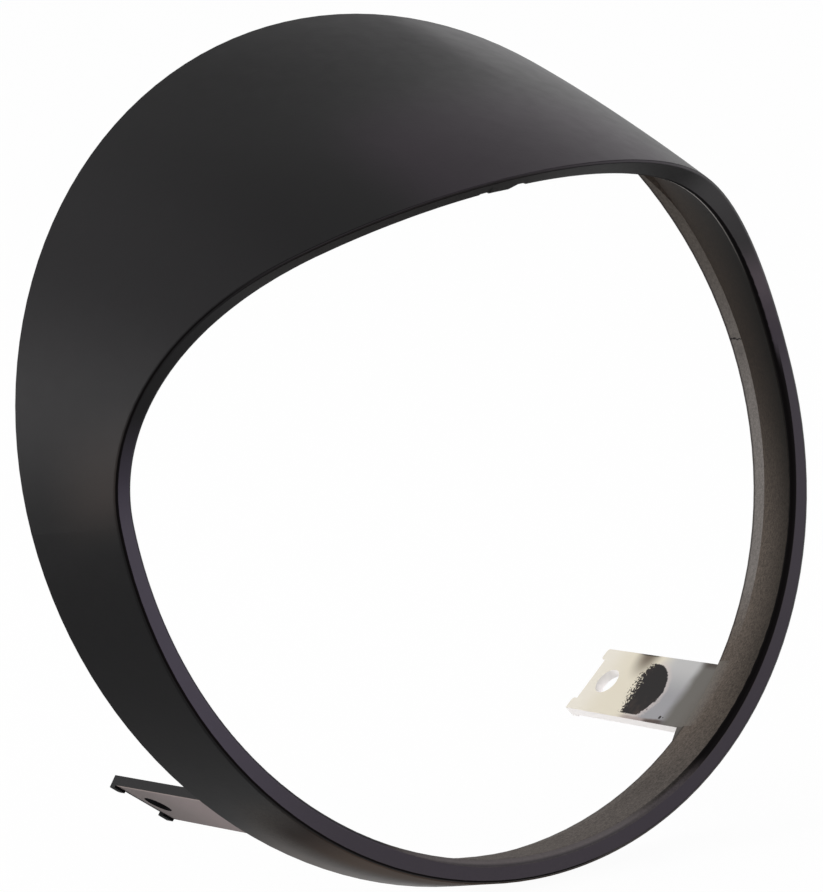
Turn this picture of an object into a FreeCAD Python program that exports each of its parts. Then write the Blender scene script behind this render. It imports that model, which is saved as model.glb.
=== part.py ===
import FreeCAD, Part
import math
import os

import Sketcher
from FreeCAD import Placement, Rotation, Vector

# Headlight ring with a brow: a one-piece casting that frames a round lamp.
# Frame: the two fixing tabs run along +Y, the brow looks towards -Y, Z is up and X is to the right.
# The origin is the middle of the rear rim. The rear rim's plane leans back by the rake.

NODE = "headlight_ring"

DIMENSIONS = [
    ("rake", 13.4, "lean of the rear rim's plane, top to the rear, degrees"),
    ("rim_radius", 100.0, "outer radius of the rear rim"),
    ("rim_wall", 5.5, "wall at the rear rim, around the lamp seat"),
    ("form_depth", 100.0, "depth of the section that the tube tapers to, ahead of the rear rim"),
    ("form_half_width", 68.9, "half width of that section"),
    ("form_rise", 47.0, "its height above its middle"),
    ("form_fall", 93.0, "its height below its middle"),
    ("form_sink", 17.4, "how far its middle lies below the rim's middle"),
    ("crown_dome", 4.2, "how far the brow's crown bulges half way along"),
    ("side_wall", 7.4, "wall at the sides of that section"),
    ("crown_wall", 2.0, "wall at its top"),
    ("keel_wall", 0.6, "wall at its bottom"),
    ("seat_depth", 4.5, "depth of the straight lamp seat behind the taper"),
    ("seat_raise", 0.4, "how far the seat's middle lies above the rim's middle"),
    ("lip_depth", 24.6, "depth of the front lip at mid height"),
    ("lip_lean", 4.1, "lean of the lower lip against the rear rim, degrees"),
    ("waist_radius", 53.6, "radius of the sweep from the lower lip into the brow"),
    ("brow_reach", 70.0, "depth of a point on the brow's cut line"),
    ("brow_height", 46.0, "height of that point"),
    ("brow_slope", 19.2, "slope of the brow's cut line against the rim's axis, degrees"),
    ("lip_outer_bevel", 0.8, "bevel of the lip's outer edge"),
    ("lip_inner_round", 1.1, "rounding of the lip's inner edge"),
    ("tab_angle", 52.1, "direction that a tab faces, below the horizontal, degrees"),
    ("tab_inset", 7.15, "how far a tab's inner face lies inside the rim's radius"),
    ("tab_thickness", 2.35, "thickness of a tab"),
    ("tab_width", 17.9, "width of a tab"),
    ("tab_flare", 0.9, "how much wider a tab is at its root, on its lower side"),
    ("tab_offset", 6.5, "how far a tab's middle line lies above the foot of its normal"),
    ("tab_root", 5.2, "how far a tab runs forward into the wall"),
    ("tab_end", 28.3, "where the recessed end of a tab lies behind the origin"),
    ("ear_length", 1.6, "how far the two ears pass the recessed end"),
    ("ear_width", 3.1, "width of an ear"),
    ("ear_run", 2.5, "length of the thickened part of an ear"),
    ("ear_swell", 0.6, "extra thickness of an ear on the outside"),
    ("ear_round", 0.8, "rounding of an ear's corners"),
    ("hole_diameter", 6.8, "clearance hole for a fixing screw"),
    ("hole_inset", 6.5, "how far the hole lies ahead of the recessed end"),
    ("gusset_length", 3.6, "how far the web below a tab runs behind the rim"),
    ("gusset_foot", 0.7, "how far the web's foot is let into the rim"),
    ("gusset_height", 9.0, "height of the web along the rim"),
]
VALUE = {name: number for name, number, _ in DIMENSIONS}

doc = FreeCAD.newDocument(NODE)
sheet = doc.addObject("Spreadsheet::Sheet", "Dimensions")
for row, (name, number, meaning) in enumerate(DIMENSIONS, 1):
    sheet.set(f"A{row}", meaning)
    sheet.set(f"B{row}", str(number))
    sheet.setAlias(f"B{row}", name)
doc.recompute()

body = doc.addObject("PartDesign::Body", "HeadlightRing")
body.Label = NODE
ORIGIN = {feature.Role: feature for feature in body.Origin.OriginFeatures}


def cell(text):
    """An expression with the sheet's names filled in."""
    for name in sorted(VALUE, key=len, reverse=True):
        text = text.replace("<" + name + ">", "Dimensions." + name)
    return text


def datum(name, role, axis, angle):
    """A datum plane turned from an origin plane about one of its own axes."""
    plane = body.newObject("PartDesign::Plane", name)
    plane.AttachmentSupport = (ORIGIN[role], [""])
    plane.MapMode = "FlatFace"
    plane.AttachmentOffset = Placement(Vector(0, 0, 0), Rotation(axis, 1.0))
    plane.setExpression("AttachmentOffset.Rotation.Angle", cell(angle))
    doc.recompute()
    return plane


def sketch_on(name, support, lift="0"):
    """An empty sketch on a plane, lifted off it along the plane's normal."""
    sketch = body.newObject("Sketcher::SketchObject", name)
    sketch.AttachmentSupport = (support, [""])
    sketch.MapMode = "FlatFace"
    sketch.setExpression("AttachmentOffset.Base.z", cell(lift))
    doc.recompute()
    return sketch


def size(sketch, name, expression, *constraint):
    """Adds a dimension whose value follows the sheet."""
    index = sketch.addConstraint(Sketcher.Constraint(*constraint))
    sketch.renameConstraint(index, name)
    sketch.setExpression("Constraints." + name, cell(expression))


def rule(sketch, *constraint):
    """Adds a geometric constraint."""
    sketch.addConstraint(Sketcher.Constraint(*constraint))


def round_section(name, depth, radius, lift, numbers):
    """A circle about the rim's axis or just above it, drawn as an upper and a lower half."""
    around, above = numbers
    sketch = sketch_on(name, rear_plane, depth)
    circle = Part.Circle(Vector(0, above, 0), Vector(0, 0, 1), around)
    sketch.addGeometry(Part.ArcOfCircle(circle, 0, math.pi), False)
    sketch.addGeometry(Part.ArcOfCircle(circle, math.pi, 2 * math.pi), False)
    rule(sketch, "PointOnObject", 0, 3, -2)
    rule(sketch, "Coincident", 1, 3, 0, 3)
    rule(sketch, "Coincident", 0, 1, 1, 2)
    rule(sketch, "Coincident", 0, 2, 1, 1)
    rule(sketch, "Horizontal", 0, 1, 0, 3)
    rule(sketch, "Horizontal", 0, 2, 0, 3)
    size(sketch, "radius", radius, "Radius", 0, around)
    size(sketch, "lift", lift, "DistanceY", -1, 1, 0, 3, above)
    doc.recompute()
    return sketch


def oval_section(name, depth, half_width, rise, fall, sink, numbers):
    """Two half ellipses that share a width: a low one above and a tall one below."""
    width, high, low, down = numbers
    sketch = sketch_on(name, rear_plane, depth)
    middle = Vector(0, -down, 0)
    side = middle + Vector(width, 0, 0)
    upper = Part.Ellipse(side, middle + Vector(0, high, 0), middle)
    lower = Part.Ellipse(middle + Vector(0, -low, 0), side, middle)
    sketch.addGeometry(Part.ArcOfEllipse(upper, 0, math.pi), False)
    sketch.addGeometry(Part.ArcOfEllipse(lower, -math.pi / 2, math.pi / 2), False)
    sketch.exposeInternalGeometry(0)
    sketch.exposeInternalGeometry(1)
    across, above, along = 2, 3, 6
    rule(sketch, "Coincident", 0, 1, 1, 2)
    rule(sketch, "Coincident", 0, 2, 1, 1)
    rule(sketch, "Coincident", 0, 3, 1, 3)
    rule(sketch, "Coincident", 0, 1, across, 1)
    rule(sketch, "Coincident", 0, 2, across, 2)
    rule(sketch, "PointOnObject", 0, 3, -2)
    rule(sketch, "Horizontal", across)
    rule(sketch, "Vertical", along)
    size(sketch, "sink", sink, "DistanceY", 0, 3, -1, 1, down)
    size(sketch, "width", "2 * (" + half_width + ")", "Distance", across, 2 * width)
    size(sketch, "rise", "2 * (" + rise + ")", "Distance", above, 2 * high)
    size(sketch, "fall", "2 * (" + fall + ")", "Distance", along, 2 * low)
    doc.recompute()
    return sketch


def polygon(sketch, points):
    """A closed outline of straight lines; returns the index of its first line."""
    first = sketch.GeometryCount
    count = len(points)
    for i, point in enumerate(points):
        sketch.addGeometry(Part.LineSegment(point, points[(i + 1) % count]), False)
    for i in range(count):
        rule(sketch, "Coincident", first + i, 2, first + (i + 1) % count, 1)
    return first


def grown(before, what):
    """Stops the build if a feature added nothing."""
    doc.recompute()
    if body.Shape.Volume <= before + 1.0:
        raise RuntimeError(what + " added nothing")
    return body.Shape.Volume


def cut_down(before, what):
    """Stops the build if a feature cut nothing."""
    doc.recompute()
    if body.Shape.Volume >= before - 1.0:
        raise RuntimeError(what + " cut nothing")
    return body.Shape.Volume


def lip_edges(wall_radius):
    """Names of the front lip's edges along the wall that starts at a radius on the seat or the rim."""
    shape = body.Shape
    names = []
    for number, edge in enumerate(shape.Edges, 1):
        faces = shape.ancestorsOfType(edge, Part.Face)
        flat = [face for face in faces if face.Surface.TypeId != "Part::GeomBSplineSurface"]
        walls = [face for face in faces if face.Surface.TypeId == "Part::GeomBSplineSurface"]
        if len(flat) != 1 or len(walls) != 1 or flat[0].CenterOfMass.y > -VALUE["seat_depth"]:
            continue
        rounds = [rim.Curve.Radius for rim in walls[0].Edges if rim.Curve.TypeId == "Part::GeomCircle"]
        if any(abs(radius - wall_radius) < 0.01 for radius in rounds):
            names.append("Edge%d" % number)
    return names


def ear_corners(station, thickness):
    """Names of the edges that cross the ears' thickness at their ends."""
    names = []
    for number, edge in enumerate(body.Shape.Edges, 1):
        at_end = all(abs(vertex.Point.y - station) < 0.01 for vertex in edge.Vertexes)
        if at_end and abs(edge.Length - thickness) < 0.01:
            names.append("Edge%d" % number)
    return names


def soften(name, kind, names, measure, expression):
    """Rounds or bevels the named edges of the body so far."""
    base = body.Tip
    edge_work = body.newObject("PartDesign::" + kind, name)
    edge_work.Base = (base, names)
    edge_work.setExpression(measure, cell(expression))


rear_plane = datum("RearPlane", "XZ_Plane", Vector(1, 0, 0), "-<rake>")
side_plane = datum("SidePlane", "YZ_Plane", Vector(0, 0, 1), "-<rake>")
tab_plane = datum("TabPlane", "YZ_Plane", Vector(1, 0, 0), "<tab_angle>")

# Outer skin: from the round rear rim through a slightly domed middle to the low, narrow front form
rim_radius = VALUE["rim_radius"]
half_width = VALUE["form_half_width"]
rear_rim = round_section("RearRim", "0", "<rim_radius>", "0", (rim_radius, 0.0))
mid_form = oval_section(
    "MidForm", "<form_depth> / 2",
    "(<rim_radius> + <form_half_width>) / 2", "(<rim_radius> + <form_rise>) / 2 + <crown_dome>",
    "(<rim_radius> + <form_fall>) / 2", "<form_sink> / 2",
    ((rim_radius + half_width) / 2, (rim_radius + VALUE["form_rise"]) / 2 + VALUE["crown_dome"],
     (rim_radius + VALUE["form_fall"]) / 2, VALUE["form_sink"] / 2))
front_form = oval_section(
    "FrontForm", "<form_depth>", "<form_half_width>", "<form_rise>", "<form_fall>", "<form_sink>",
    (half_width, VALUE["form_rise"], VALUE["form_fall"], VALUE["form_sink"]))
skin = body.newObject("PartDesign::AdditiveLoft", "Skin")
skin.Profile = rear_rim
skin.Sections = [mid_form, front_form]
skin.Ruled = False
volume = grown(0.0, "the skin")

# Front cut, seen from the side: the leaning lower lip, the sweep at the waist and the line under the brow
trim = sketch_on("FrontTrim", side_plane)
lean = math.radians(VALUE["lip_lean"])
slope = math.radians(VALUE["brow_slope"])
sweep = VALUE["waist_radius"]
lip_normal = Vector(-math.cos(lean), -math.sin(lean), 0)
brow_normal = Vector(-math.sin(slope), -math.cos(slope), 0)
lip_point = Vector(-VALUE["lip_depth"], 0, 0)
brow_point = Vector(-VALUE["brow_reach"], VALUE["brow_height"], 0)
lip_share = lip_normal.dot(lip_point) + sweep
brow_share = brow_normal.dot(brow_point) + sweep
cross = lip_normal.x * brow_normal.y - lip_normal.y * brow_normal.x
waist = Vector((lip_share * brow_normal.y - brow_share * lip_normal.y) / cross,
               (brow_share * lip_normal.x - lip_share * brow_normal.x) / cross, 0)
lip_end = waist - lip_normal * sweep
brow_start = waist - brow_normal * sweep
reach = 1.4 * rim_radius
lip_foot = Vector(lip_point.x + math.tan(lean) * reach, -reach, 0)
brow_tip = Vector(-reach, brow_point.y + math.tan(slope) * (reach - VALUE["brow_reach"]), 0)
corner = Vector(-reach, -reach, 0)
arc = Part.ArcOfCircle(Part.Circle(waist, Vector(0, 0, 1), sweep),
                       math.atan2(-lip_normal.y, -lip_normal.x), math.atan2(-brow_normal.y, -brow_normal.x))
for edge in (Part.LineSegment(lip_foot, lip_end), arc, Part.LineSegment(brow_start, brow_tip),
             Part.LineSegment(brow_tip, corner), Part.LineSegment(corner, lip_foot)):
    trim.addGeometry(edge, False)
trim.addGeometry(Part.Point(lip_point), True)
trim.addGeometry(Part.Point(brow_point), True)
rule(trim, "Tangent", 0, 2, 1, 1)
rule(trim, "Tangent", 1, 2, 2, 1)
rule(trim, "Coincident", 2, 2, 3, 1)
rule(trim, "Coincident", 3, 2, 4, 1)
rule(trim, "Coincident", 4, 2, 0, 1)
rule(trim, "Vertical", 3)
rule(trim, "Horizontal", 4)
rule(trim, "PointOnObject", 5, 1, -1)
rule(trim, "PointOnObject", 5, 1, 0)
rule(trim, "PointOnObject", 6, 1, 2)
size(trim, "lip_depth", "<lip_depth>", "DistanceX", 5, 1, -1, 1, VALUE["lip_depth"])
size(trim, "brow_reach", "<brow_reach>", "DistanceX", 6, 1, -1, 1, VALUE["brow_reach"])
size(trim, "brow_height", "<brow_height>", "DistanceY", -1, 1, 6, 1, VALUE["brow_height"])
size(trim, "waist", "<waist_radius>", "Radius", 1, sweep)
size(trim, "lean", "90 + <lip_lean>", "Angle", -1, 1, 0, 1, math.pi / 2 + lean)
size(trim, "slope", "180 - <brow_slope>", "Angle", -1, 1, 2, 1, math.pi - slope)
size(trim, "box_front", "1.4 * <rim_radius>", "DistanceX", 3, 2, -1, 1, reach)
size(trim, "box_foot", "1.4 * <rim_radius>", "DistanceY", 3, 2, -1, 1, reach)
doc.recompute()
front_cut = body.newObject("PartDesign::Pocket", "FrontCut")
front_cut.Profile = trim
front_cut.SideType = "Symmetric"
front_cut.Type = "ThroughAll"
volume = cut_down(volume, "the front cut")

# Hollow: a straight seat for the lamp's rim, then a taper that leaves the wall and the lip
seat_radius = rim_radius - VALUE["rim_wall"]
seat_numbers = (seat_radius, VALUE["seat_raise"])
seat_edge = round_section("SeatEdge", "0", "<rim_radius> - <rim_wall>", "<seat_raise>", seat_numbers)
seat = body.newObject("PartDesign::Pocket", "LampSeat")
seat.Profile = seat_edge
seat.Type = "Length"
seat.Reversed = True
seat.setExpression("Length", cell("<seat_depth>"))
volume = cut_down(volume, "the lamp seat")

seat_end = round_section("SeatEnd", "<seat_depth>", "<rim_radius> - <rim_wall>", "<seat_raise>", seat_numbers)
bore_form = oval_section(
    "BoreForm", "<form_depth>", "<form_half_width> - <side_wall>", "<form_rise> - <crown_wall>",
    "<form_fall> - <keel_wall>", "<form_sink>",
    (half_width - VALUE["side_wall"], VALUE["form_rise"] - VALUE["crown_wall"],
     VALUE["form_fall"] - VALUE["keel_wall"], VALUE["form_sink"]))
hollow = body.newObject("PartDesign::SubtractiveLoft", "Hollow")
hollow.Profile = seat_end
hollow.Sections = [bore_form]
hollow.Ruled = True
volume = cut_down(volume, "the hollow")

# Edges of the front lip: a bevel outside and a rounding inside
soften("LipOuterBevel", "Chamfer", lip_edges(rim_radius), "Size", "<lip_outer_bevel>")
volume = cut_down(volume, "the outer lip bevel")
soften("LipInnerRound", "Fillet", lip_edges(seat_radius), "Radius", "<lip_inner_round>")
volume = cut_down(volume, "the inner lip rounding")

# One fixing tab: its outline with the end recess, the hole and the web, then the swollen ears
outline = sketch_on("TabOutline", tab_plane, "<rim_radius> - <tab_inset>")
rim_line = "tan(<rake>) * sin(<tab_angle>) * <rim_radius>"
rim_at_tab = math.tan(math.radians(VALUE["rake"])) * math.sin(math.radians(VALUE["tab_angle"])) * rim_radius
low = VALUE["tab_offset"] - VALUE["tab_width"] / 2
high = VALUE["tab_offset"] + VALUE["tab_width"] / 2
ear_end = VALUE["tab_end"] + VALUE["ear_length"]
root_low = low - VALUE["tab_flare"]
web_low = root_low - VALUE["gusset_height"]
polygon(outline, [
    Vector(-rim_at_tab - VALUE["tab_root"], high, 0),
    Vector(-rim_at_tab - VALUE["tab_root"], web_low, 0),
    Vector(-rim_at_tab - VALUE["gusset_foot"], web_low, 0),
    Vector(VALUE["gusset_length"] - rim_at_tab, root_low, 0),
    Vector(ear_end, low, 0),
    Vector(ear_end, low + VALUE["ear_width"], 0),
    Vector(VALUE["tab_end"], low + VALUE["ear_width"], 0),
    Vector(VALUE["tab_end"], high - VALUE["ear_width"], 0),
    Vector(ear_end, high - VALUE["ear_width"], 0),
    Vector(ear_end, high, 0),
])
hole_station = VALUE["tab_end"] - VALUE["hole_inset"]
hole = outline.addGeometry(
    Part.Circle(Vector(hole_station, VALUE["tab_offset"], 0), Vector(0, 0, 1), VALUE["hole_diameter"] / 2),
    False)
for upright in (0, 4, 6, 8):
    rule(outline, "Vertical", upright)
for level in (1, 5, 7, 9):
    rule(outline, "Horizontal", level)
rule(outline, "Equal", 4, 8)
rule(outline, "Equal", 5, 7)
size(outline, "width", "<tab_width>", "DistanceY", 3, 2, 8, 2, VALUE["tab_width"])
size(outline, "upper", "<tab_offset> + <tab_width> / 2", "DistanceY", -1, 1, 8, 2, high)
size(outline, "flare", "<tab_flare>", "DistanceY", 3, 1, 3, 2, VALUE["tab_flare"])
size(outline, "root", rim_line + " + <tab_root>", "DistanceX", 0, 1, -1, 1, rim_at_tab + VALUE["tab_root"])
size(outline, "web_foot", rim_line + " + <gusset_foot>", "DistanceX", 1, 2, -1, 1,
     rim_at_tab + VALUE["gusset_foot"])
size(outline, "web_start", rim_line + " - <gusset_length>", "DistanceX", 3, 1, -1, 1,
     rim_at_tab - VALUE["gusset_length"])
size(outline, "web_height", "<gusset_height>", "DistanceY", 1, 2, 3, 1, VALUE["gusset_height"])
size(outline, "ear_end", "<tab_end> + <ear_length>", "DistanceX", -1, 1, 8, 2, ear_end)
size(outline, "tab_end", "<tab_end>", "DistanceX", -1, 1, 6, 1, VALUE["tab_end"])
size(outline, "ear_width", "<ear_width>", "DistanceY", 4, 1, 4, 2, VALUE["ear_width"])
size(outline, "hole_station", "<tab_end> - <hole_inset>", "DistanceX", -1, 1, hole, 3, hole_station)
size(outline, "hole_height", "<tab_offset>", "DistanceY", -1, 1, hole, 3, VALUE["tab_offset"])
size(outline, "hole_size", "<hole_diameter>", "Diameter", hole, VALUE["hole_diameter"])
doc.recompute()
tab = body.newObject("PartDesign::Pad", "Tab")
tab.Profile = outline
tab.Type = "Length"
tab.setExpression("Length", cell("<tab_thickness>"))
volume = grown(volume, "the tab")

ears = sketch_on("EarOutlines", tab_plane, "<rim_radius> - <tab_inset>")
for name, foot, expression in (("lower", low, "<tab_offset> - <tab_width> / 2"),
                               ("upper", high - VALUE["ear_width"],
                                "<tab_offset> + <tab_width> / 2 - <ear_width>")):
    first = polygon(ears, [
        Vector(ear_end - VALUE["ear_run"], foot, 0),
        Vector(ear_end, foot, 0),
        Vector(ear_end, foot + VALUE["ear_width"], 0),
        Vector(ear_end - VALUE["ear_run"], foot + VALUE["ear_width"], 0),
    ])
    for side in (0, 2):
        rule(ears, "Horizontal", first + side)
        rule(ears, "Vertical", first + side + 1)
    size(ears, name + "_end", "<tab_end> + <ear_length>", "DistanceX", -1, 1, first, 2, ear_end)
    size(ears, name + "_run", "<ear_run>", "DistanceX", first, 1, first, 2, VALUE["ear_run"])
    size(ears, name + "_width", "<ear_width>", "DistanceY", first + 1, 1, first + 1, 2, VALUE["ear_width"])
    size(ears, name + "_foot", expression, "DistanceY", -1, 1, first, 1, foot)
doc.recompute()
ear_pads = body.newObject("PartDesign::Pad", "Ears")
ear_pads.Profile = ears
ear_pads.Type = "Length"
ear_pads.setExpression("Length", cell("<tab_thickness> + <ear_swell>"))
volume = grown(volume, "the ears")

second_tab = body.newObject("PartDesign::Mirrored", "SecondTab")
second_tab.Originals = [tab, ear_pads]
second_tab.MirrorPlane = (ORIGIN["YZ_Plane"], [""])
body.Tip = second_tab
volume = grown(volume, "the second tab")
corners = ear_corners(ear_end, VALUE["tab_thickness"] + VALUE["ear_swell"])
soften("EarRounds", "Fillet", corners, "Radius", "<ear_round>")
cut_down(volume, "the ear rounding")

for feature in doc.Objects:
    if {"Invalid", "Error"} & set(feature.State):
        raise RuntimeError(feature.Name + " did not compute")
for sketch in doc.findObjects("Sketcher::SketchObject"):
    if not sketch.FullyConstrained:
        raise RuntimeError(sketch.Name + " is not fully constrained")
if body.Shape.isNull() or not body.Shape.isValid() or len(body.Shape.Solids) != 1:
    raise RuntimeError("the ring is not one sound solid")

os.makedirs("parts", exist_ok=True)
body.Shape.exportStep("parts/" + NODE + ".step")
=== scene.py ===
"""Looks of a cast headlight ring: satin black outside, dusty overspray inside, two bare tabs."""

import math

import bpy
import numpy as np
from bpy.props import FloatProperty, FloatVectorProperty, PointerProperty
from mathutils import Matrix, Vector


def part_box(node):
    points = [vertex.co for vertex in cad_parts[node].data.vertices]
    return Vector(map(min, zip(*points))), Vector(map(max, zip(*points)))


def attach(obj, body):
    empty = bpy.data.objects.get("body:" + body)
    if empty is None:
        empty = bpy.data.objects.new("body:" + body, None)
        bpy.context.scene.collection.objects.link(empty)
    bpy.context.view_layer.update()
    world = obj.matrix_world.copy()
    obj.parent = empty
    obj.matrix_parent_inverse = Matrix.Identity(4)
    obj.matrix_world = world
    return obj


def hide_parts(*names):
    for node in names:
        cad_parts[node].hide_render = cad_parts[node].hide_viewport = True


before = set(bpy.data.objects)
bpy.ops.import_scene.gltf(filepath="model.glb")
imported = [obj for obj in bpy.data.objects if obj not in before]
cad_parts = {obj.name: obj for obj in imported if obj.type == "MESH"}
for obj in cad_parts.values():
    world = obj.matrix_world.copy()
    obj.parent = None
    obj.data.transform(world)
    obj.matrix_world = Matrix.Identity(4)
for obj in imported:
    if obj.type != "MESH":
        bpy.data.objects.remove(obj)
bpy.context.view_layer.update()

bl_info = {
    "name": "Headlight Ring",
    "version": (1, 0, 0),
    "blender": (4, 5, 0),
    "location": "View3D > Sidebar > Headlight Ring",
    "description": "Finish, trim and stage of a cast headlight ring",
    "category": "Object",
}

NODE = "headlight_ring"
BODY = "root"
SOFT = "soft_normal"
PHOTO_LONG_SIDE = 892.0
SENSOR_WIDTH = 36.0
FLOOR_SIZE = 30.0
MM = 1000.0

# The casting in millimetres: how it leans, how its axis sinks, and where the lip, wall and seat lie
RAKE = math.radians(13.4)
SINK = 0.174
LIP_AHEAD = 24.6
LIP_LEAN = 0.072
LIP_SWEEP = 0.0153
LIP_START = 16.0
WALL_REACH = 89.2
WALL_SWELL = 5.0
SEAT_FRONT = 4.56

# Facets of the lip's bevel and rounding are smaller than this, in square metres
LIP_FACET = 3.5e-6

# The tabs in millimetres: their slope, and the blot and specks on their inner faces
TAB_ANGLE = math.radians(52.1)
BLOT_PLACE = (8.7, 4.8)
BLOT_FLAT = 0.86
BLOT_SIZE = 8.5
SPECKS = ((-6.6, -1.3, 0.55), (-7.7, -1.2, 0.3), (0.1, 0.4, 0.28))

# The gate in metres: places along the brow's edge with shares of the nicks' rise or the stub's drop
GATE_STEPS = (
    (-0.0111, 0.0), (-0.0108, 0.5), (-0.0089, 0.5), (-0.0085, -0.5),
    (-0.0035, -1.0), (-0.0008, 1.0), (0.0006, 1.0), (0.0012, 0.0),
)
GATE_FRONT = -0.0583
GATE_TOP = 0.0629
BROW_FRONT = -0.05
BROW_LOW = 0.05

# Name, place, width, power and colour of each lamp
LAMPS = (
    ("lamp_left_low", (-1.393, 1.393, 0.347), 1.0, 13.6, (1.0, 1.0, 1.0)),
    ("lamp_left_mid", (-1.598, 0.886, 0.813), 1.0, 9.3, (1.0, 0.965, 1.0)),
    ("lamp_left_high", (-0.895, 0.960, 1.509), 1.0, 3.3, (1.0, 0.94, 1.0)),
    ("lamp_front_right", (1.085, -1.609, 0.484), 1.0, 18.4, (0.98, 0.91, 1.0)),
    ("lamp_right_back", (1.45, 1.1, 0.8), 1.0, 0.7, (1.0, 0.92, 1.0)),
)


class Wire:
    """An output socket of a node tree; sums, products and shares of wires add Math nodes."""

    def __init__(self, paint, socket):
        self.paint = paint
        self.socket = socket

    def __add__(self, other):
        return self.paint.maths("ADD", self, other)

    __radd__ = __add__

    def __sub__(self, other):
        return self.paint.maths("SUBTRACT", self, other)

    def __rsub__(self, other):
        return self.paint.maths("SUBTRACT", other, self)

    def __mul__(self, other):
        return self.paint.maths("MULTIPLY", self, other)

    __rmul__ = __mul__

    def __truediv__(self, other):
        return self.paint.maths("DIVIDE", self, other)

    def __rtruediv__(self, other):
        return self.paint.maths("DIVIDE", other, self)

    def __abs__(self):
        return self.paint.maths("ABSOLUTE", self)


class Paint:
    """The node tree of a material or of the world."""

    def __init__(self, owner):
        owner.use_nodes = True
        self.owner = owner
        self.tree = owner.node_tree
        self.tree.nodes.clear()

    def node(self, kind, settings=None, inputs=None, output=0):
        """Adds a node of any kind, sets it up, feeds its sockets and gives one of its outputs."""
        made = self.tree.nodes.new(kind)
        for name, value in (settings or {}).items():
            setattr(made, name, value)
        for key, value in (inputs or {}).items():
            socket = self.find(made.inputs, key)
            if isinstance(value, Wire):
                self.tree.links.new(value.socket, socket)
            else:
                socket.default_value = value
        return Wire(self, self.find(made.outputs, output))

    @staticmethod
    def find(sockets, key):
        """The socket of that number, identifier or name."""
        if isinstance(key, int):
            return sockets[key]
        for socket in sockets:
            if socket.identifier == key:
                return socket
        return sockets[key]

    def maths(self, operation, *values):
        """A Math node on wires or numbers."""
        return self.node("ShaderNodeMath", {"operation": operation}, dict(enumerate(values)))

    def larger(self, first, second):
        """The larger of two values."""
        return self.maths("MAXIMUM", first, second)

    def length(self, first, second):
        """How long a slanted line is that runs so far one way and so far the other."""
        return self.maths("SQRT", first * first + second * second)

    def ramp(self, value, low, high, kind):
        """0 below low and 1 above high, with a step of that kind between."""
        return self.node(
            "ShaderNodeMapRange",
            {"interpolation_type": kind, "clamp": True},
            {"Value": value, "From Min": low, "From Max": high, "To Min": 0.0, "To Max": 1.0},
        )

    def rise(self, value, low, high):
        """A soft step from low to high; low above high turns it round."""
        return self.ramp(value, low, high, "SMOOTHSTEP")

    def slide(self, value, low, high):
        """A straight ramp from low to high; low above high turns it round."""
        return self.ramp(value, low, high, "LINEAR")

    def tint(self, share, first, second):
        """The first colour where share is 0 and the second where it is 1."""
        colours = [c if isinstance(c, Wire) else (*c, 1.0) for c in (first, second)]
        return self.node(
            "ShaderNodeMix",
            {"data_type": "RGBA", "clamp_factor": True},
            {"Factor_Float": share, "A_Color": colours[0], "B_Color": colours[1]},
            "Result_Color",
        )

    def shade(self, colour, share):
        """A colour made darker or paler by a share."""
        return self.node("ShaderNodeVectorMath", {"operation": "SCALE"}, {0: colour, "Scale": share})

    def noise(self, place, scale, detail=2.0, roughness=0.5):
        """Soft noise from 0 to 1 at so many grains per metre."""
        return self.node(
            "ShaderNodeTexNoise",
            {"noise_dimensions": "3D"},
            {"Vector": place, "Scale": scale, "Detail": detail, "Roughness": roughness},
            "Fac",
        )

    def parts(self, vector):
        """The three parts of a vector."""
        split = self.node("ShaderNodeSeparateXYZ", None, {0: vector}).socket.node
        return [Wire(self, socket) for socket in split.outputs]

    def finish(self, shader, output="ShaderNodeOutputMaterial"):
        """Joins the shader to the tree's output and gives the material or the world."""
        out = self.tree.nodes.new(output)
        self.tree.links.new(shader.socket, out.inputs["Surface"])
        return self.owner


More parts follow.
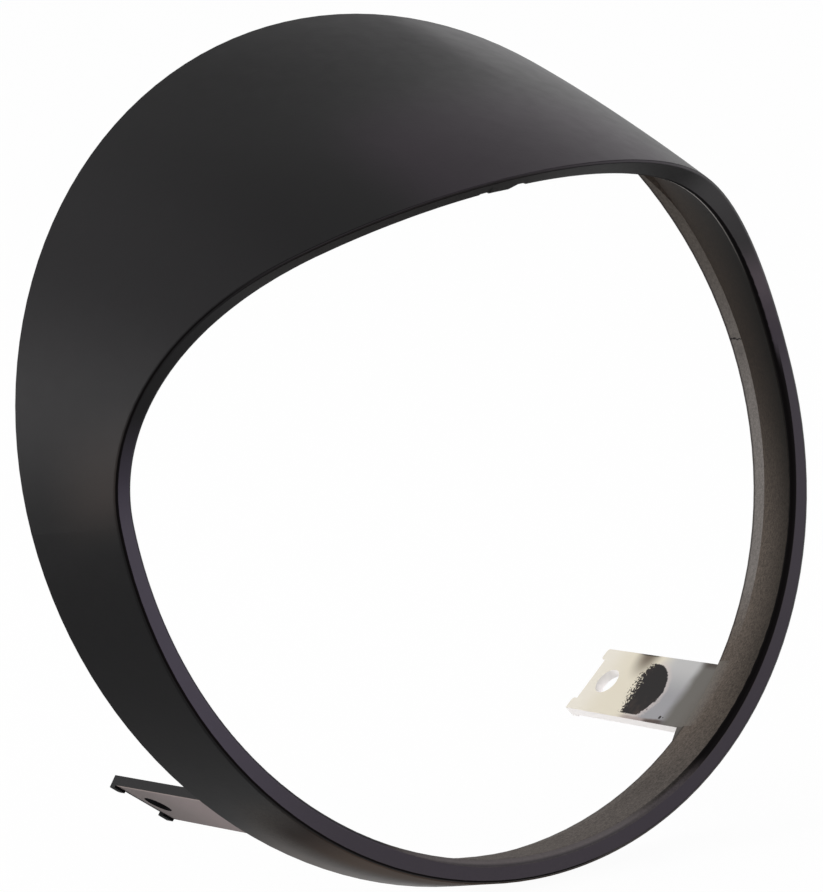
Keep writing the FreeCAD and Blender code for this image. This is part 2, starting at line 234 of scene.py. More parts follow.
class Places:
    """Where a point of the casting lies and which way it faces, in millimetres and as shares.

    ahead and height run along and across the ring's leaning axis, reach runs out from that axis, and
    level is the share of reach that points up. from_wall starts at the lower lip's inner edge.
    outward and face_ahead are the shares of the surface's normal that point away from the axis and
    along it. turn is 0 where the surface faces as the wall does and 1 where it faces as the lip does.
    """

    def __init__(self, paint):
        self.spot = paint.node("ShaderNodeTexCoord", None, None, "Object")
        self.x, self.y, self.z = [part * MM for part in paint.parts(self.spot)]
        normal = paint.parts(paint.node("ShaderNodeNewGeometry", None, None, "Normal"))
        self.ring_places(paint, *normal)
        self.tab_places(paint, normal[0], normal[2])

    def ring_places(self, paint, nx, ny, nz):
        """Along and across the ring's leaning axis."""
        self.ahead = self.z * math.sin(RAKE) - self.y * math.cos(RAKE)
        self.height = self.y * math.sin(RAKE) + self.z * math.cos(RAKE)
        self.face_ahead = nz * math.sin(RAKE) - ny * math.cos(RAKE)
        face_up = ny * math.sin(RAKE) + nz * math.cos(RAKE)
        centred = self.height + self.ahead * SINK
        self.reach = paint.length(self.x, centred)
        self.level = centred / self.reach
        self.from_wall = self.reach - WALL_REACH - WALL_SWELL * self.level * self.level
        self.outward = (self.x * nx + centred * face_up) / self.reach
        raised = paint.larger(self.height, 0.0)
        self.lip_ahead = LIP_AHEAD + self.height * LIP_LEAN + raised * raised * LIP_SWEEP
        climb = paint.slide(self.ahead, 24.0, 60.0)
        wall_face = -0.34 - climb * 0.23
        lip_face = 1.0 - climb * 0.66
        self.turn = (self.face_ahead - wall_face) / (lip_face - wall_face)

    def tab_places(self, paint, nx, nz):
        """Up and across a tab's slope, the same on both sides."""
        side = paint.maths("SIGN", self.x)
        self.tab_rise = abs(self.x) * math.sin(TAB_ANGLE) + self.z * math.cos(TAB_ANGLE)
        self.tab_depth = abs(self.x) * math.cos(TAB_ANGLE) - self.z * math.sin(TAB_ANGLE)
        self.tab_inner = nz * math.sin(TAB_ANGLE) - side * nx * math.cos(TAB_ANGLE)
        upper = nz * math.cos(TAB_ANGLE) + side * nx * math.sin(TAB_ANGLE)
        self.tab_top = paint.rise(upper, 0.5, 0.65) * paint.rise(self.tab_rise, 11.5, 12.5)


class Zones:
    """Which finish lies where on the casting, as shares from 0 to 1."""

    def __init__(self, paint, at):
        self.outside = paint.rise(at.outward, 0.1, 0.2)
        self.skin = paint.rise(at.outward, 0.6, 0.75)
        self.tab = paint.rise(at.ahead, -0.2, -0.5)
        self.brow = paint.rise(at.ahead, 46.0, 62.0)
        self.lip_face = paint.rise(at.turn, 0.86, 0.97) * paint.rise(at.outward, 0.55, 0.3)
        self.margin = self.dusty_margin(paint, at)
        self.foot = self.foot_sheen_zone(paint, at)
        self.lines = self.shade_lines(paint, at)
        self.painted = self.full_paint(paint, at)

    def dusty_margin(self, paint, at):
        """The lower lip's inner margin, which the overspray reaches."""
        margin = paint.rise(at.from_wall + paint.slide(at.x, -20.0, -45.0) * 0.9, 0.9, 0.6)
        margin = margin * paint.rise(at.height, -80.0, -93.0)
        return margin * paint.rise(at.x, -46.0, -38.0) * paint.rise(at.x, 38.0, 18.0)

    def foot_sheen_zone(self, paint, at):
        """The skin's underside ahead of the rear rim, where a painted reflection of the floor takes the
        place of most of the satin gloss.
        """
        foot = self.outside * paint.rise(at.height, -66.0, -80.0)
        return foot * paint.rise(at.face_ahead, 0.45, 0.3) * paint.rise(at.ahead, 1.0, 13.0)

    def shade_lines(self, paint, at):
        """Painted shade: black lines along the lip's outer edge on the left and its inner edge on the
        right, where the rounded edges fall dark.
        """
        outer = paint.rise(at.outward, 0.06, 0.16) * paint.rise(at.outward, 0.76, 0.66)
        outer = outer * paint.rise(at.x, 30.0, 5.0) * (1.0 - self.brow)
        flat = paint.rise(at.from_wall + at.level * 0.6, 0.55, 0.25) * paint.rise(at.ahead, 25.5, 24.2)
        inner = paint.larger(flat, paint.rise(at.turn, 0.97, 0.88)) * paint.rise(at.turn, 0.28, 0.5)
        inner = inner * paint.rise(at.x, 14.0, 36.0) * paint.rise(at.height, -94.0, -84.0)
        return paint.larger(outer, inner * (1.0 - self.outside)) * (1.0 - self.tab)

    def full_paint(self, paint, at):
        """The skin, the lip and the rear rim, and the upper sides and webs of the tabs."""
        lip = paint.rise(at.turn, 0.35, 0.45) * (1.0 - self.margin * (1.0 - self.outside))
        rear = paint.rise(at.face_ahead, -0.7, -0.85)
        ring = paint.larger(paint.larger(self.outside, lip), rear) * (1.0 - self.tab)
        # Painted shade: the brow's lip on the left faces down and mostly takes the dull powder finish, so
        # that it stays darker than the satin coat
        shaded_lip = self.lip_face * self.brow * paint.rise(at.x, 32.0, -12.0)
        ring = ring * (1.0 - shaded_lip * 0.75) * (1.0 - self.foot * 0.85) * (1.0 - self.lines)
        web = paint.rise(at.face_ahead, -0.75, -0.85) * paint.rise(at.ahead, -5.0, -4.0)
        return paint.larger(ring, self.tab * paint.larger(at.tab_top, web))


def wall_colour(paint, finish, at, speckle):
    """Grainy overspray of the wall, with painted light from above that makes it paler low down, and darker
    towards the lip.
    """
    cloud = paint.noise(at.spot, 45.0, 2.0) - 0.5
    # Painted light from above: the overspray is darker high up and paler low down
    low = paint.rise(at.height + cloud * 24.0, 8.0, -62.0)
    wall = paint.tint(low, finish.dust_high_shaded, finish.dust_low_lit)
    wall = paint.tint(paint.rise(at.height, -74.0, -92.0), wall, finish.dust_foot_lit)
    fade = paint.slide(at.ahead / at.lip_ahead, 0.2, 0.9) * paint.rise(at.height, -98.0, -60.0)
    fade = fade * (0.88 + 0.22 * paint.rise(at.height, -50.0, -10.0))
    return paint.shade(wall, (0.55 + 0.95 * speckle + cloud * 0.35) * (1.35 - fade))


def seat_colour(paint, finish, at, speckle):
    """Thin paint in the lamp seat, paler at mid height; its paleness is a painted reflection of the bright
    backdrop.
    """
    seat = paint.tint(paint.rise(at.height, 40.0, -22.0), finish.seat_high_sheen, finish.seat_low_sheen)
    return paint.shade(seat, 0.75 + 0.5 * speckle)


def seat_marks(paint, at, grain):
    """The crack across the lamp seat on the right, and the smear below it."""
    wander = (paint.noise(at.spot, 520.0, 4.0, 0.7) - 0.5) * 2.8
    crack = paint.rise(abs(at.height - 7.1 + at.ahead * 0.16 + wander), 0.28, 0.08)
    crack = crack * paint.rise(at.ahead, 5.2, 4.4)
    smear = paint.rise(paint.length((at.height - 3.6) / 2.0, (at.ahead - 2.6) / 1.7), 1.1, 0.3)
    smear = smear * paint.rise(grain, 0.48, 0.6) * 0.6
    return paint.larger(crack, smear) * paint.rise(at.x, 80.0, 85.0)


def inner_colour(paint, finish, at, grain):
    """The wall and the lamp seat, with the seat's marks, the rear line and a painted highlight along the
    wall's front edge.
    """
    speckle = paint.rise(grain, 0.34, 0.66)
    wall = wall_colour(paint, finish, at, speckle)
    seat = seat_colour(paint, finish, at, speckle)
    front = SEAT_FRONT - 4.3 * paint.rise(at.height, 36.0, 56.0)
    in_seat = paint.rise(at.ahead - front, 0.06, -0.06)
    in_seat = in_seat * paint.rise(at.height / at.reach, -0.68, -0.48)
    inner = paint.tint(in_seat, wall, seat)
    inner = paint.tint(seat_marks(paint, at, grain), inner, finish.crack)
    at_tab = paint.rise(at.tab_rise, -3.2, -2.8) * paint.rise(at.tab_rise, 15.9, 15.5)
    at_tab = at_tab * paint.rise(at.tab_depth, 60.0, 70.0)
    rear_line = paint.rise(at.ahead, 0.95, 0.45) * (1.0 - at_tab)
    inner = paint.tint(rear_line * 0.6, inner, finish.crack)
    inner = paint.tint(at_tab * paint.rise(at.ahead, 7.0, 0.0) * 0.55, inner, finish.mist)
    # Painted highlight: a thin pale line where the wall turns into the lip's rounding, on the upper right
    edge_highlight = paint.rise(at.turn, 0.02, 0.12) * paint.rise(at.turn, 0.42, 0.3)
    edge_highlight = edge_highlight * paint.rise(at.x, 38.0, 46.0) * paint.rise(at.ahead, 27.0, 52.0)
    return paint.tint(edge_highlight, inner, finish.edge_highlight)


def tab_edge_lines(paint, finish, at, drift, bare):
    """Dark and pinkish lines along the upper and lower edges of a tab's inner face."""
    up = at.tab_rise
    top = paint.rise(up, 14.9, 15.4) * paint.rise(at.y, 17.5, 14.5) * paint.rise(at.y, 8.5, 10.5)
    bare = paint.tint(top * 0.85, bare, finish.crack)
    root = paint.rise(up, 13.4, 15.0) * paint.rise(at.y, -6.5, -11.0)
    bare = paint.tint(root * 0.7, bare, finish.blot_worn)
    low = paint.rise(up + drift * 0.8, -1.7, -2.5)
    pink = low * paint.rise(at.y, 11.0, 5.0) * paint.rise(at.y, -9.0, -4.0)
    bare = paint.tint(pink * 0.8, bare, finish.halo_low)
    dark = low * paint.rise(at.y, 0.0, -2.6) * paint.rise(at.y, -11.0, -7.0)
    return paint.tint(dark * 0.85, bare, finish.smudge_dark)


def tab_blot(paint, finish, at, arc, grains, drift, bare):
    """The black blot with its ragged side, notch and worn paint, and the specks beside it."""
    up = at.tab_rise
    spread = 8.0 + 5.0 * paint.rise(abs(up - 6.0), 6.5, 1.0)
    crest = paint.rise(up, 8.5, 13.5)
    ragged = at.y - 9.1 - up * 0.2 + crest * 2.2 + grains * spread
    notch = paint.rise(at.y + up * 0.55 + grains * 2.0, 1.15, 0.8)
    notch = notch * paint.rise(up + grains * 1.5, 2.6, 2.1)
    blot = paint.rise(arc, BLOT_SIZE + 0.15, BLOT_SIZE - 0.15)
    blot = blot * paint.rise(ragged, 0.35, -0.15) * (1.0 - notch)
    blot = blot * paint.rise(up + grains * 0.8, -1.75, -1.4)
    for along, rise, size in SPECKS:
        speck = paint.length(at.y - along, up - rise) + grains * 0.5
        blot = paint.larger(blot, paint.rise(speck, size, size - 0.2))
    worn = paint.rise(up + drift * 9.0, 6.0, -1.0) * paint.rise(drift, -0.1, 0.15)
    worn = paint.larger(worn, paint.rise(ragged, -2.2, 0.2) * 0.5)
    return paint.tint(blot, bare, paint.tint(worn, finish.blot, finish.blot_worn))


def tab_inner_colour(paint, finish, at, dust):
    """Inner face of a tab: cream end, smudge, pale middle, misted root, fine lines and blot."""
    grains = paint.noise(at.spot, 1900.0, 2.5, 0.65) - 0.5
    drift = paint.noise(at.spot, 240.0, 2.0) - 0.5
    up = at.tab_rise
    along = at.y + drift * 3.0
    pale = paint.tint(paint.rise(up, 4.0, 14.5), finish.bare_grey, finish.bare_pale)
    cream = paint.tint(paint.rise(along, 17.0, 28.0), finish.bare_cream, finish.bare_end)
    bare = paint.tint(paint.rise(along, 1.0, 8.5), pale, cream)
    arc = paint.length((at.y - BLOT_PLACE[0]) * BLOT_FLAT, up - BLOT_PLACE[1]) + drift * 1.2
    arc = arc + grains * (0.7 + 3.0 * paint.rise(up, 5.0, 1.0))
    halo = paint.rise(arc, BLOT_SIZE + 1.5, BLOT_SIZE + 0.2) * paint.rise(at.y, 9.0, 5.0)
    bare = paint.tint(halo * 0.55, bare, finish.halo)
    smudge = paint.rise(paint.length((at.y - 13.0) / 5.8, (up - 15.8) / 8.5), 1.05, 0.1)
    bare = paint.tint(smudge * 0.9, bare, finish.smudge)
    bare = paint.tint(paint.rise(at.y + drift * 1.6, -6.2, -10.4), bare, finish.mist)
    bare = paint.tint(paint.rise(along, -12.5, -18.5) * 0.8, bare, dust)
    bare = tab_edge_lines(paint, finish, at, drift, bare)
    return tab_blot(paint, finish, at, arc, grains, drift, bare)


def tab_colour(paint, finish, at, dust, black):
    """Bare inner faces, thin grey paint outside, pale or black edges and black ears."""
    left = paint.rise(at.x, 1.0, -1.0)
    drift = paint.noise(at.spot, 150.0, 2.0) - 0.5
    edges = paint.tint(left, finish.bare_edge, black)
    thin = paint.tint(paint.rise(at.y + drift * 4.0, 24.0, -4.0), finish.tab_grey, finish.tab_root)
    thin = paint.tint(paint.rise(at.tab_rise, 14.4, 15.2) * 0.7, thin, finish.halo_low)
    thin = paint.tint(paint.rise(at.y + drift, 26.6, 27.6), thin, black)
    colour = paint.tint(paint.rise(at.tab_inner, -0.45, -0.6), edges, thin)
    inner = tab_inner_colour(paint, finish, at, dust)
    colour = paint.tint(paint.rise(at.tab_inner, 0.45, 0.6), colour, inner)
    return paint.tint(at.tab_top, colour, black)


def lip_colour(paint, finish, at, zones, black, mottle):
    """The front lip, its tones painted reflections: greyer on the left and where it climbs on the right,
    black beside the dust.
    """
    low = paint.tint(paint.rise(at.x, -50.0, -86.0), finish.lip_low_sheen, finish.lip_left_sheen)
    right = paint.tint(paint.rise(at.ahead, 29.0, 37.0), finish.lip_side_sheen, finish.lip_high_sheen)
    high = paint.tint(paint.rise(at.x, -1.0, 1.0), black, right)
    lip = paint.tint(paint.rise(at.ahead, 23.0, 32.0), low, high)
    lip = paint.shade(lip, 0.85 + 0.3 * mottle)
    return paint.tint(zones.margin, lip, black)


def coat_colour(paint, finish, at, zones, black, mottle):
    """The satin coat: black, with painted reflections on the lip, painted sheen on the skin behind the
    brow, at the waist and at the foot, and a paler grey bevel along the brow's front edge.
    """
    lip = lip_colour(paint, finish, at, zones, black, mottle)
    coat = paint.tint(zones.lip_face * (1.0 - zones.brow), black, lip)
    # Painted sheen on the skin behind the brow's front edge
    brow_front = paint.rise(at.ahead, 34.0, 58.0) * paint.rise(at.x, -36.0, -16.0)
    brow_front = brow_front * paint.rise(at.x, 52.0, 38.0) * zones.skin
    coat = paint.tint(brow_front, coat, finish.brow_sheen)
    # Painted sheen on the skin where the lip climbs to the brow
    waist = paint.rise(at.height, -9.0, 4.0) * paint.rise(at.height, 26.0, 4.0)
    waist = waist * paint.rise(at.ahead, 3.0, 23.0) * paint.rise(at.x, -70.0, -85.0) * zones.skin
    coat = paint.tint(waist, coat, finish.waist_sheen)
    # Painted reflection of the floor on the skin's underside, towards the rear rim
    reflected_floor = paint.rise(at.height, -70.0, -88.0) * paint.rise(at.ahead, 10.0, 1.0) * zones.skin
    coat = paint.tint(reflected_floor, coat, finish.floor_reflection)
    front_edge = paint.rise(at.turn, 1.08, 1.35) * paint.rise(at.outward, 0.78, 0.5) * zones.brow
    return paint.tint(front_edge, coat, finish.brow_edge_grey)


def powder_colour(paint, finish, at, zones, black, grain):
    """What has no full coat: the inside, the tabs, the lip's margin, the foot with its painted reflection,
    and the lines of painted shade.
    """
    dust = inner_colour(paint, finish, at, grain)
    powder = paint.tint(zones.tab, dust, tab_colour(paint, finish, at, dust, black))
    margin = paint.tint(paint.rise(at.from_wall, -0.2, 0.55), finish.margin_pale, finish.margin_dark)
    margin = paint.shade(margin, 0.7 + 0.6 * grain)
    on_margin = zones.margin * paint.rise(at.turn, 0.5, 0.8) * (1.0 - zones.outside)
    powder = paint.tint(on_margin, powder, margin)
    # Painted reflection of the floor on the skin's underside: dark towards the sides, warm at the bottom
    foot = paint.tint(paint.rise(at.height, -76.0, -90.0), finish.foot_sheen_dark, finish.foot_sheen_warm)
    powder = paint.tint(zones.foot, powder, foot)
    # Painted shade: near-black lines along the lip's rounded edges
    return paint.tint(zones.lines, powder, finish.seam)


def casting_paint(finish):
    """Satin black outside and on the lip, dusty overspray inside, bare tabs."""
    paint = Paint(bpy.data.materials.new("casting_finish"))
    at = Places(paint)
    zones = Zones(paint, at)
    broad = paint.noise(at.spot, 22.0, 2.0)
    mottle = paint.noise(at.spot, 260.0, 3.0)
    peel = paint.noise(at.spot, 1100.0, 2.0)
    grain = paint.noise(at.spot, 4200.0, 2.0, 0.6) * 0.55 + paint.noise(at.spot, 1300.0, 3.0, 0.6) * 0.45
    black = paint.tint(broad * 0.5 + mottle * 0.5, finish.black_deep, finish.black_worn)
    crown = paint.rise(at.height, 66.0, 90.0) * zones.skin
    crown = crown * paint.rise(at.x, 34.0, 18.0) * paint.rise(at.x, -62.0, -30.0)
    peeled = paint.node("ShaderNodeBump", None, {"Strength": 0.1, "Distance": 0.0001, "Height": peel})
    grainy = paint.node("ShaderNodeBump", None, {"Strength": 0.25, "Distance": 0.00012, "Height": grain})
    satin = paint.node(
        "ShaderNodeBsdfPrincipled",
        None,
        {
            "Base Color": coat_colour(paint, finish, at, zones, black, mottle),
            "Roughness": finish.satin + (mottle - 0.5) * 0.08 + crown * 0.12,
            "Normal": peeled,
            "IOR": finish.gloss,
        },
    )
    powder = paint.node(
        "ShaderNodeBsdfPrincipled",
        None,
        {
            "Base Color": powder_colour(paint, finish, at, zones, black, grain),
            "Roughness": 0.7 + (grain - 0.5) * 0.2,
            "Normal": grainy,
            "IOR": finish.gloss,
            "Specular IOR Level": 0.15,
        },
    )
    return paint.finish(paint.node("ShaderNodeMixShader", None, {0: zones.painted, 1: powder, 2: satin}))


def light_path(paint):
    """1 for rays from the camera, off gloss or through glass."""
    rays = paint.node("ShaderNodeLightPath").socket.node
    camera, gloss, through = [
        Wire(paint, rays.outputs[name])
        for name in ("Is Camera Ray", "Is Glossy Ray", "Is Transmission Ray")
    ]
    return paint.larger(paint.larger(camera, gloss), through)


def floor_paint(stage):
    """White to the camera, with a faint shadow of the object."""
    paint = Paint(bpy.data.materials.new("floor_white"))
    seen = light_path(paint)
    glow = paint.node("ShaderNodeEmission", None, {"Color": (1.0, 1.0, 1.0, 1.0), "Strength": 1.0})
    matt = paint.node("ShaderNodeBsdfDiffuse", None, {"Color": (*stage.floor_colour, 1.0)})
    shader = paint.node("ShaderNodeMixShader", None, {0: seen * stage.floor_glow, 1: matt, 2: glow})
    return paint.finish(shader)


def tone(name, description, default):
    """A colour that can be changed in the sidebar."""
    return FloatVectorProperty(
        name=name, description=description, subtype="COLOR", default=default, min=0.0, max=1.0)


class RingFinish(bpy.types.PropertyGroup):
    """Colours and gloss of the casting, with some painted light and shade among the colours."""

    black_deep: tone("Deep Black", "Darker tone of the satin paint", (0.0032, 0.003, 0.0033))
    black_worn: tone("Worn Black", "Paler tone of the satin paint", (0.0048, 0.0045, 0.005))
    # Painted reflections on the front lip, differing by place
    lip_low_sheen: tone("Low Lip", "Front lip in its lower part", (0.0188, 0.015, 0.0205))
    lip_left_sheen: tone("Left Lip", "Front lip on its left side", (0.031, 0.0263, 0.038))
    lip_high_sheen: tone("High Lip", "Front lip just below the brow", (0.0195, 0.0182, 0.0188))
    # Painted shade along the lip's rounded edges
    seam: tone("Seam", "Black lines along the lip's edges", (0.0022, 0.0017, 0.0018))
    margin_pale: tone(
        "Pale Margin", "Dusty margin of the lower lip, beside the wall", (0.09, 0.082, 0.081))
    margin_dark: tone(
        "Dark Margin", "Dusty margin of the lower lip, beside the black paint", (0.042, 0.039, 0.041))
    # Painted sheen on the skin behind the brow and at the waist
    brow_sheen: tone("Brow Sheen", "Skin behind the brow's front edge", (0.0138, 0.0098, 0.0138))
    waist_sheen: tone("Waist Sheen", "Skin where the lip climbs to the brow", (0.0195, 0.0153, 0.0138))
    # Painted reflections of the floor on the skin's underside
    foot_sheen_dark: tone("Dark Foot", "Underside of the skin, towards the sides", (0.014, 0.0095, 0.008))
    foot_sheen_warm: tone("Warm Foot Sheen", "Underside of the skin, at the bottom", (0.065, 0.045, 0.033))
    floor_reflection: tone("Floor Reflection", "Underside of the skin, towards the rear rim", (0.085, 0.072, 0.064))
    brow_edge_grey: tone("Brow Edge Grey", "Bevel along the brow's front edge", (0.03, 0.0265, 0.03))
    # Painted reflection on the lip where it climbs to the brow
    lip_side_sheen: tone("Side Lip", "Front lip where it climbs to the brow", (0.056, 0.046, 0.052))
    # Overspray inside the ring, darker high up and paler low down as painted light from above
    dust_high_shaded: tone(
        "High Dust", "Overspray inside the ring, in its upper part", (0.0165, 0.0125, 0.0098))
    dust_low_lit: tone("Low Dust", "Overspray inside the ring, in its lower part", (0.068, 0.056, 0.046))
    dust_foot_lit: tone("Foot Dust", "Overspray inside the ring, at the bottom", (0.065, 0.057, 0.051))
    # Painted highlight along the wall's front edge
    edge_highlight: tone("Shine", "Highlight line along the wall's front edge", (0.3, 0.285, 0.27))
    # Thin paint in the lamp seat, made pale by a painted reflection of the bright backdrop
    seat_high_sheen: tone("High Seat", "Thin paint in the lamp seat, in its upper part", (0.068, 0.06, 0.052))
    seat_low_sheen: tone("Low Seat", "Thin paint in the lamp seat, at mid height", (0.15, 0.138, 0.128))
    crack: tone("Crack", "Crack, smear and dark lines inside", (0.014, 0.0125, 0.013))
    bare_cream: tone("Bare Cream", "Unpainted part of a tab", (0.722, 0.674, 0.55))
    bare_end: tone("Bare End", "Unpainted end of a tab", (0.77, 0.734, 0.64))
    bare_edge: tone("Bare Edge", "Unpainted edges of a tab", (0.92, 0.9, 0.87))
    bare_pale: tone("Bare Pale", "Lightly misted middle of a tab, at its upper edge", (0.5, 0.5, 0.49))
    bare_grey: tone("Bare Grey", "Lightly misted middle of a tab, lower down", (0.325, 0.325, 0.335))
    halo: tone("Halo", "Pinkish rim round the blot", (0.6, 0.53, 0.5))
    halo_low: tone("Low Halo", "Pinkish line at a tab's edges", (0.36, 0.3, 0.275))
    mist: tone("Mist", "Thin overspray on a tab", (0.152, 0.145, 0.132))
    smudge: tone("Smudge", "Brown smudge at a tab's upper edge", (0.12, 0.092, 0.068))
    smudge_dark: tone("Dark Smudge", "Dark line at a tab's lower edge", (0.06, 0.043, 0.036))
    blot: tone("Blot", "Ragged black blot on a tab", (0.031, 0.029, 0.029))
    blot_worn: tone("Worn Blot", "Paler grains of the blot", (0.062, 0.048, 0.042))
    tab_grey: tone("Tab Grey", "Outer face of a tab, towards its end", (0.16, 0.14, 0.135))
    tab_root: tone("Tab Root", "Outer face of a tab, towards the ring", (0.235, 0.2, 0.195))
    satin: FloatProperty(
        name="Satin", description="Roughness of the black paint",
        subtype="FACTOR", default=0.4, min=0.0, max=1.0)
    gloss: FloatProperty(
        name="Gloss", description="Index of refraction of the paint",
        default=1.2, min=1.0, max=2.0)


class GateTrim(bpy.types.PropertyGroup):
    """The trimmed casting gate under the brow's front edge."""

    notch: FloatProperty(
        name="Notch", description="How far the two nicks beside the gate rise above the edge",
        unit="LENGTH", default=0.0003, min=0.0, max=0.0008)
    drop: FloatProperty(
        name="Drop", description="How far the gate's stub hangs below the edge",
        unit="LENGTH", default=0.00032, min=0.0, max=0.0008)


class StageSetup(bpy.types.PropertyGroup):
    """Camera, lamps and floor."""

    azimuth: FloatProperty(
        name="Azimuth", description="Turn of the camera round the ring",
        subtype="ANGLE", default=math.radians(-33.2205))
    elevation: FloatProperty(
        name="Elevation", description="Camera's height above the horizon",
        subtype="ANGLE", default=math.radians(9.2145))
    roll: FloatProperty(
        name="Roll", description="Turn of the camera about its own axis",
        subtype="ANGLE", default=math.radians(7.2616))
    distance: FloatProperty(
        name="Distance", description="From the rear rim's centre to the camera",
        unit="LENGTH", default=2.0, min=0.1)
    lens: FloatProperty(
        name="Lens", description="Focal length in millimetres on a 36 mm sensor",
        unit="CAMERA", default=357.31, min=1.0)
    shift_right: FloatProperty(
        name="Shift Right", description="Shift of the view in pixels of the photograph", default=7.4)
    shift_up: FloatProperty(
        name="Shift Up", description="Shift of the view in pixels of the photograph", default=1.25)
    floor_colour: tone("Floor", "Colour of the floor", (0.82, 0.82, 0.82))
    floor_glow: FloatProperty(
        name="Floor Glow", description="Share of the floor that stays white to the camera",
        subtype="FACTOR", default=0.96, min=0.0, max=1.0)
    sky: FloatProperty(
        name="Sky", description="Even light from all round", default=0.75, min=0.0)


def clear_selection():
    """Nothing selected, and object mode."""
    if bpy.context.mode != "OBJECT":
        bpy.ops.object.mode_set(mode="OBJECT")
    bpy.ops.object.select_all(action="DESELECT")


class RING_OT_casting(bpy.types.Operator):
    """Paints the cast ring"""

    bl_idname = "ring.casting"
    bl_label = "Finish Casting"
    bl_options = {"REGISTER", "UNDO"}

    def execute(self, context):
        casting = bpy.data.objects.new("casting", self.soft_copy(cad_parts[NODE].data))
        context.scene.collection.objects.link(casting)
        casting.data.materials.append(casting_paint(context.scene.ring_finish))
        self.keep_normals(casting.data)
        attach(casting, BODY)
        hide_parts(NODE)
        return {"FINISHED"}

    def soft_copy(self, cast):
        """A merged copy of the cast mesh whose lip edges shade as rounded ones."""
        places = np.array([point.co for point in cast.vertices])
        faces = np.array([list(face.vertices) for face in cast.polygons])
        normals = np.array([corner.vector for corner in cast.corner_normals]).reshape(-1, 3, 3)
        _, first, spot = np.unique(
            np.round(places * MM, 3), axis=0, return_index=True, return_inverse=True)
        merged = spot.ravel()[faces]
        ahead = (places[:, 2] * math.sin(RAKE) - places[:, 1] * math.cos(RAKE)) * MM
        at_front = (ahead > LIP_START)[faces]
        at_edge = self.fine_patches(cast, faces, len(places))[faces] & at_front

        # Corners at the lip's edges take the normals of the broad faces that they touch
        given = np.zeros((len(first), 3))
        broad = ~at_edge & at_front
        np.add.at(given, merged[broad], normals[broad])
        taker = at_edge & (np.linalg.norm(given[merged], axis=2) > 0.1)
        if not taker.any():
            raise RuntimeError("the casting's lip has no bevel or rounding")
        normals[taker] = given[merged[taker]]
        normals /= np.linalg.norm(normals, axis=2)[..., None]

        sound = (merged != np.roll(merged, 1, axis=1)).all(axis=1)
        mesh = bpy.data.meshes.new("casting")
        mesh.from_pydata(places[first].tolist(), [], merged[sound].tolist())
        mesh.polygons.foreach_set("use_smooth", [True] * len(mesh.polygons))
        mesh.normals_split_custom_set(normals[sound].reshape(-1, 3).tolist())
        return mesh

    def fine_patches(self, cast, faces, count):
        """True for the points of each patch with small facets, such as a bevel or a rounding."""
        patch = np.arange(count)
        while True:
            lowest = patch[faces].min(axis=1)
            spread = patch.copy()
            np.minimum.at(spread, faces.ravel(), np.repeat(lowest, 3))
            if (spread == patch).all():
                break
            patch = spread
        owner = patch[faces[:, 0]]
        areas = np.bincount(owner, [face.area for face in cast.polygons])
        return (areas / np.maximum(np.bincount(owner), 1))[patch] < LIP_FACET

    def keep_normals(self, mesh):
        """Notes the normals at the corners, so that they outlast cuts in the mesh."""
        noted = mesh.attributes.new(SOFT, "FLOAT_VECTOR", "CORNER")
        normals = np.array([corner.vector for corner in mesh.corner_normals])
        noted.data.foreach_set("vector", normals.ravel())


class RING_OT_gate(bpy.types.Operator):
    """Leaves the trimmed gate with its two nicks under the brow's edge"""

    bl_idname = "ring.gate"
    bl_label = "Trim Gate"
    bl_options = {"REGISTER", "UNDO"}

    def execute(self, context):
        trim = context.scene.ring_gate
        casting = bpy.data.objects["casting"]
        clear_selection()
        casting.select_set(True)
        context.view_layer.objects.active = casting
        places = [place for place, _ in GATE_STEPS]
        lifts = [share * (trim.notch if share > 0.0 else trim.drop) for _, share in GATE_STEPS]
        for place in places:
            self.cross_cut(casting.data, place)
        edge = [point for point in casting.data.vertices if self.at_edge(point.co)]
        if not edge:
            raise RuntimeError("the brow has no edge where the gate was")
        for point in edge:
            point.co.z += float(np.interp(point.co.x, places, lifts))
        self.set_normals(casting.data)
        return {"FINISHED"}

    def at_edge(self, spot):
        """True on the rounding under the brow, where the gate was."""
        first, last = GATE_STEPS[0][0], GATE_STEPS[-1][0]
        return first < spot.x < last and spot.y < GATE_FRONT and spot.z < GATE_TOP

    def cross_cut(self, mesh, place):
        """Cuts the brow's edge across at that place."""
        for face in mesh.polygons:
            spots = [mesh.vertices[number].co for number in face.vertices]
            across = min(spot.x for spot in spots) < place < max(spot.x for spot in spots)
            at_brow = all(spot.y < BROW_FRONT and spot.z > BROW_LOW for spot in spots)
            face.select = across and at_brow
        bpy.ops.object.mode_set(mode="EDIT")
        bpy.ops.mesh.bisect(plane_co=(place, 0.0, 0.0), plane_no=(1.0, 0.0, 0.0))
        bpy.ops.mesh.select_all(action="DESELECT")
        bpy.ops.object.mode_set(mode="OBJECT")

    def set_normals(self, mesh):
        """Gives the corners the normals noted before the cuts."""
        normals = np.empty(len(mesh.loops) * 3)
        mesh.attributes[SOFT].data.foreach_get("vector", normals)
        normals = normals.reshape(-1, 3)
        normals /= np.linalg.norm(normals, axis=1)[:, None]
        mesh.attributes.remove(mesh.attributes[SOFT])
        mesh.normals_split_custom_set(normals.tolist())


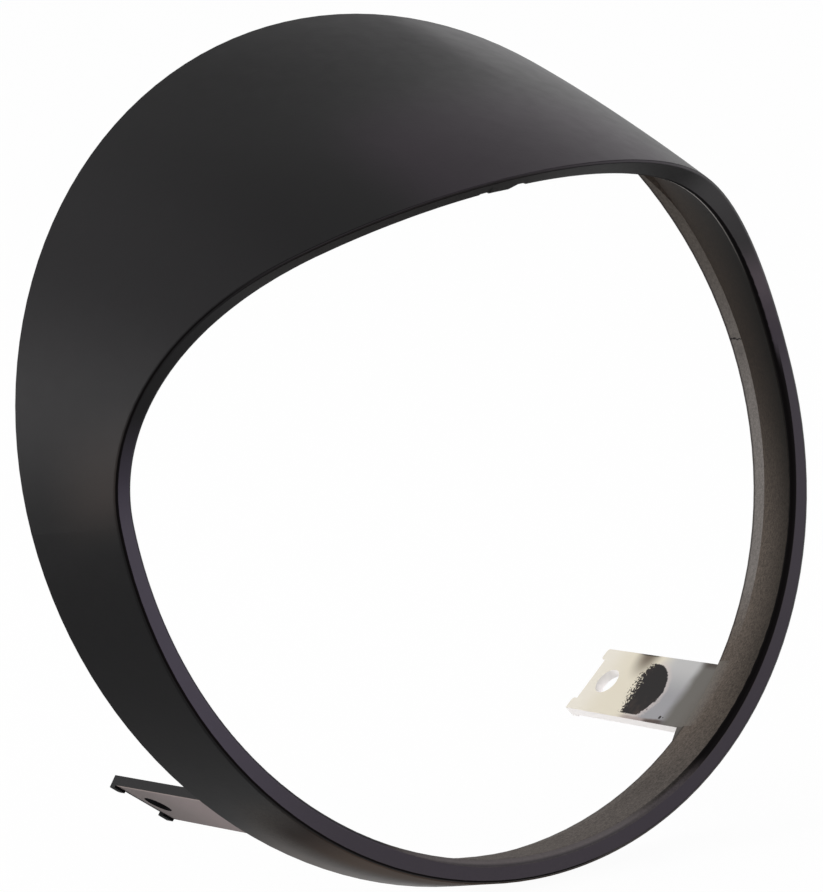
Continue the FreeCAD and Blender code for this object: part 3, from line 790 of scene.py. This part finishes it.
class RING_OT_stage(bpy.types.Operator):
    """Sets up the floor, the soft light and the camera"""

    bl_idname = "ring.stage"
    bl_label = "Set Up Stage"
    bl_options = {"REGISTER", "UNDO"}

    def execute(self, context):
        setup = context.scene.ring_stage
        self.lay_floor(setup)
        self.light_world(context.scene, setup)
        self.hang_lamps(context.scene)
        self.place_camera(context.scene, setup)
        context.scene.view_settings.view_transform = "Standard"
        return {"FINISHED"}

    def lay_floor(self, setup):
        """A wide plain floor just under the ring."""
        clear_selection()
        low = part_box(NODE)[0]
        bpy.ops.mesh.primitive_plane_add(size=FLOOR_SIZE, location=(0.0, 0.0, low.z))
        floor = bpy.context.object
        floor.name = "floor"
        floor.data.materials.append(floor_paint(setup))

    def light_world(self, scene, setup):
        """White to the camera and gloss, and a dimmer even light on the surfaces."""
        paint = Paint(bpy.data.worlds.new("studio"))
        strength = light_path(paint) * (1.0 - setup.sky) + setup.sky
        sky = paint.node(
            "ShaderNodeBackground", None, {"Color": (1.0, 1.0, 1.0, 1.0), "Strength": strength}
        )
        scene.world = paint.finish(sky, "ShaderNodeOutputWorld")

    def hang_lamps(self, scene):
        """Large soft lamps round the ring: three on the left, one in front and one behind on the right."""
        for name, place, width, power, colour in LAMPS:
            data = bpy.data.lights.new(name, "AREA")
            data.shape = "SQUARE"
            data.size = width
            data.energy = power
            data.color = colour
            lamp = bpy.data.objects.new(name, data)
            lamp.visible_camera = False
            scene.collection.objects.link(lamp)
            aim = Vector(place).to_track_quat("Z", "Y")
            lamp.matrix_world = Matrix.Translation(place) @ aim.to_matrix().to_4x4()

    def place_camera(self, scene, setup):
        """The camera stands where the photograph was taken."""
        azimuth, elevation, roll = setup.azimuth, setup.elevation, setup.roll
        back = Vector((
            math.sin(azimuth) * math.cos(elevation),
            -math.cos(azimuth) * math.cos(elevation),
            math.sin(elevation),
        ))
        level = Vector((math.cos(azimuth), math.sin(azimuth), 0.0))
        upright = back.cross(level)
        right = level * math.cos(roll) - upright * math.sin(roll)
        up = level * math.sin(roll) + upright * math.cos(roll)
        turn = Matrix((right, up, back)).transposed().to_4x4()
        data = bpy.data.cameras.new("photo_camera")
        data.lens = setup.lens
        data.sensor_width = SENSOR_WIDTH
        data.shift_x = setup.shift_right / PHOTO_LONG_SIDE
        data.shift_y = setup.shift_up / PHOTO_LONG_SIDE
        camera = bpy.data.objects.new("photo_camera", data)
        scene.collection.objects.link(camera)
        camera.matrix_world = Matrix.Translation(back * setup.distance) @ turn
        scene.camera = camera


class RING_PT_sidebar(bpy.types.Panel):
    """Lists the pieces and the stage"""

    bl_idname = "RING_PT_sidebar"
    bl_label = "Headlight Ring"
    bl_space_type = "VIEW_3D"
    bl_region_type = "UI"
    bl_category = "Headlight Ring"

    def draw(self, context):
        for operator, group in (
            (RING_OT_casting, context.scene.ring_finish),
            (RING_OT_gate, context.scene.ring_gate),
            (RING_OT_stage, context.scene.ring_stage),
        ):
            box = self.layout.box()
            box.operator(operator.bl_idname)
            for name in group.__annotations__:
                box.prop(group, name)


GROUPS = (
    (RingFinish, "ring_finish"),
    (GateTrim, "ring_gate"),
    (StageSetup, "ring_stage"),
)
CLASSES = (RING_OT_casting, RING_OT_gate, RING_OT_stage, RING_PT_sidebar)


def register():
    for group, name in GROUPS:
        bpy.utils.register_class(group)
        setattr(bpy.types.Scene, name, PointerProperty(type=group))
    for made in CLASSES:
        bpy.utils.register_class(made)


def unregister():
    for made in reversed(CLASSES):
        bpy.utils.unregister_class(made)
    for group, name in reversed(GROUPS):
        delattr(bpy.types.Scene, name)
        bpy.utils.unregister_class(group)


def main():
    register()
    bpy.ops.ring.casting()
    bpy.ops.ring.gate()
    bpy.ops.ring.stage()


if __name__ == "__main__":
    main()
